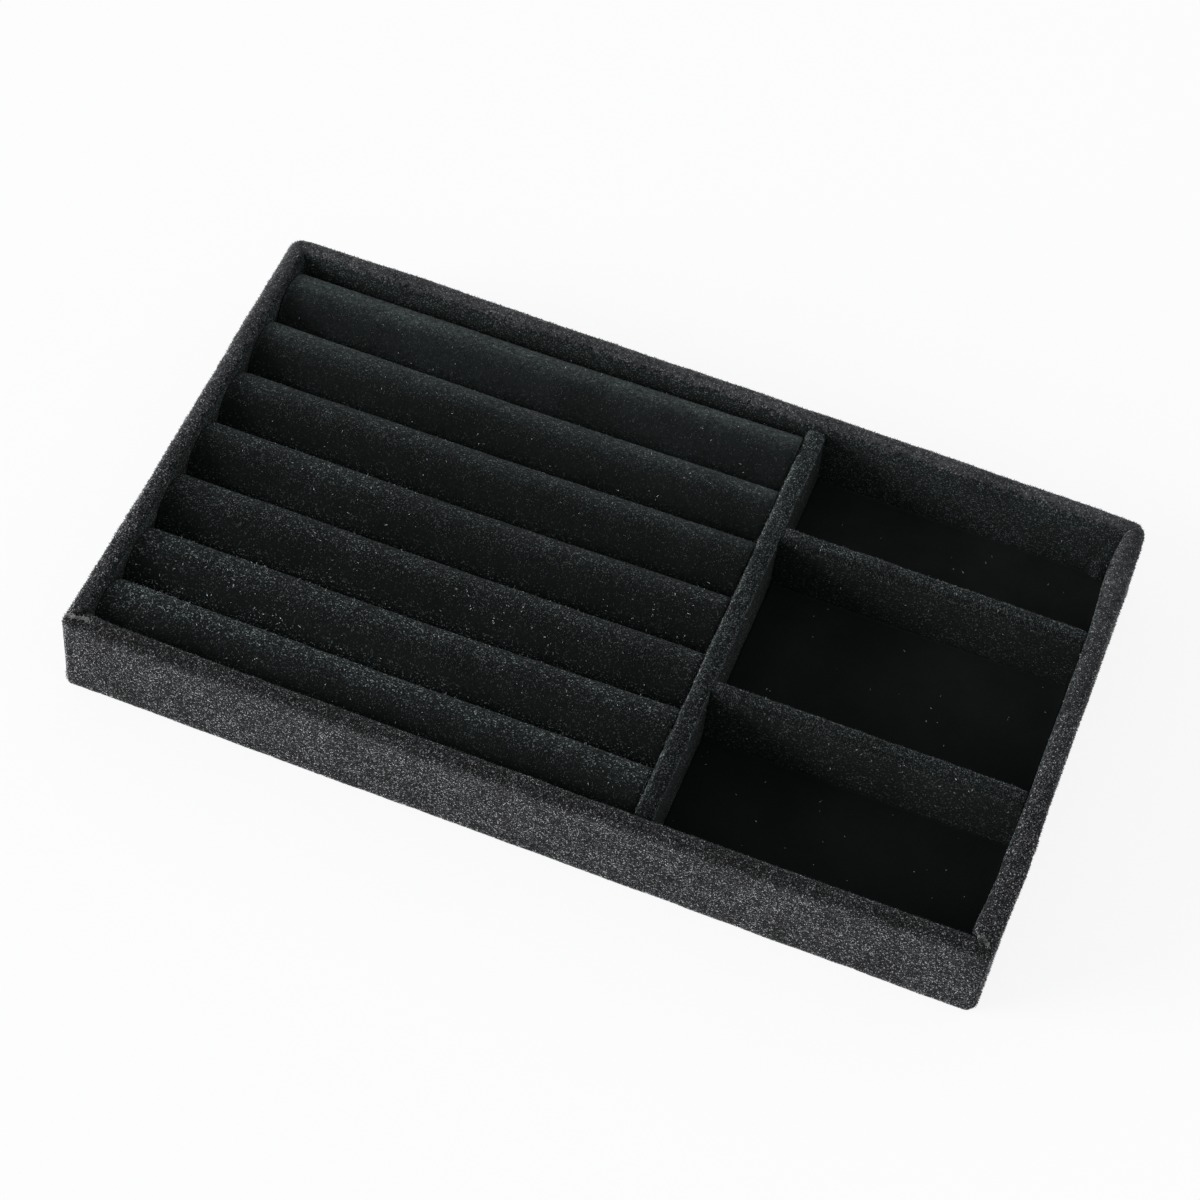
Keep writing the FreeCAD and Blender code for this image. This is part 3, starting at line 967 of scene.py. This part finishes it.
# %% [markdown]
# ## Loose fibres and lint
# The pile itself is in the finish, but the edges of velvet are never sharp: fibre tips stand out along each
# rim, fold and crown. Lint lies on the cloth as well, most of it on the rolls. A hair system could grow them,
# but thin cones with three sides are plain meshes that any viewer shows. A row of cones is doubled until
# there are enough, and then each cone goes to a root on the cloth, with its own length and lean.

# %% Fibres
cone_distance, root_shift = 2, 0.4
slant, offset = 0.3, 0.1


def cone_row(count):
    """A row of three-sided cones, each one metre tall and two metres from the next."""
    row = bmesh.new()
    bmesh.ops.create_cone(row, segments=3, radius1=0.5, radius2=0, depth=1)
    made = 1
    while made < count:
        copy = bmesh.ops.duplicate(row, geom=row.verts[:] + row.edges[:] + row.faces[:])["geom"]
        new_points = [part for part in copy if isinstance(part, bmesh.types.BMVert)]
        bmesh.ops.translate(row, verts=new_points, vec=(cone_distance * made, 0, 0))
        made *= 2
    spare = [point for point in row.verts if point.co.x > cone_distance * (count - 0.5)]
    bmesh.ops.delete(row, geom=spare, context="VERTS")
    return row


def unit(vectors):
    """The vectors made one long."""
    return vectors / np.linalg.norm(vectors, axis=1)[:, None]


def loose_fibres(name, body, roots, lean, lengths, thickness, material, seed):
    """Fibres on roots, with lengths between two limits; lean says how far from upright to flat they go."""
    random = np.random.default_rng(seed)
    places, normals = roots[:, 0], roots[:, 1]
    sideways = unit(np.cross(normals, random.normal(size=normals.shape)))
    angle = (random.random(len(places)) * lean * math.pi / 2)[:, None]
    along = normals * np.cos(angle) + sideways * np.sin(angle)
    first = unit(np.cross(along, normals + slant * sideways + offset))
    second = np.cross(along, first)
    length = random.uniform(*lengths, len(places))[:, None]
    row = cone_row(len(places))
    points = np.array([point.co for point in row.verts])
    number = np.rint(points[:, 0] / cone_distance).astype(int)
    across = (points[:, 0] - cone_distance * number)[:, None] * thickness
    laid = places[number] + along[number] * length[number] * (points[:, 2:] + root_shift)
    laid += first[number] * across + second[number] * points[:, 1:2] * thickness
    lay(row, laid)
    return finished(name, row, [material], body, [])


print("cones stand", cone_distance, "m apart until they are laid")

# %% Fibre tips
strands_to_metre = 700
fuzz_lean, fuzz_lengths, fuzz_thickness, fuzz_seed = 0.7, (0.25, 0.6), 0.2, 90


def fibre_finish(name, dark, pale):
    """Fibres that differ in brightness from one to the next."""
    material, tree = node_material(name)
    shade = ramp(tree, cell_shade(tree, strands_to_metre), [(0.0, dark), (1.0, pale)])
    fibre = shader_node(tree, "BsdfPrincipled", {
        "Base Color": shade, "Roughness": 0.8, "Specular IOR Level": 0.2})
    shader_node(tree, "OutputMaterial", {"Surface": fibre.outputs[0]})
    return material


# The tips are grey rather than black, as a painted sheen, and their brightness differs at random from fibre
# to fibre.
painted_sheen_tips = fibre_finish("fibre_tips", (0.01, 0.012, 0.012), (0.1, 0.104, 0.105))
fuzz = [
    loose_fibres(f"{body}_fuzz", body, np.concatenate(groups), fuzz_lean, fuzz_lengths, fuzz_thickness,
                 painted_sheen_tips, fuzz_seed)
    for body, groups in fuzz_roots.items()
]
print("fuzz:", [(piece.name, len(piece.data.polygons)) for piece in fuzz])

# %% Lint and frayed seams
lint_lengths, lint_thickness, lint_seed = (0.3, 0.9), 0.16, 95
fray_count, fray_lengths, fray_thickness, fray_seed = 96, (0.5, 1.4), 0.18, 99
fray_spread, fray_flatness, fray_up = 0.35, (1, 1, 0.2), (0, -0.2, 0.98)
lying_flat = 1.0


def strewn(start, end, seed):
    """Roots strewn between two places on top of the rim, for a frayed seam."""
    random = np.random.default_rng(seed)
    share = random.random((fray_count, 1))
    places = np.array(start) * (1 - share) + np.array(end) * share
    places = places + random.normal(0, fray_spread, places.shape) * fray_flatness
    return np.stack([places, np.broadcast_to(fray_up, places.shape)], axis=1)


lint_finish = fibre_finish("lint", (0.16, 0.17, 0.17), (0.85, 0.88, 0.9))
fray_finish = fibre_finish("frayed_fibres", (0.12, 0.12, 0.12), (0.6, 0.6, 0.6))
lint = [
    loose_fibres(f"{body}_lint", body, np.concatenate(groups), lying_flat, lint_lengths, lint_thickness,
                 lint_finish, lint_seed)
    for body, groups in lint_roots.items()
]
left_fray = strewn((-120.3, -69.1, 27.1), (-114.3, -67.9, 27.1), seed=97)
right_fray = strewn((116.6, -66.6, 27.2), (119.4, -68.2, 27.2), seed=98)
frays = loose_fibres("frayed_seams", "tray", np.concatenate([left_fray, right_fray]), lying_flat,
                     fray_lengths, fray_thickness, fray_finish, fray_seed)
print("lint and frays:", [(piece.name, len(piece.data.polygons)) for piece in [*lint, frays]])
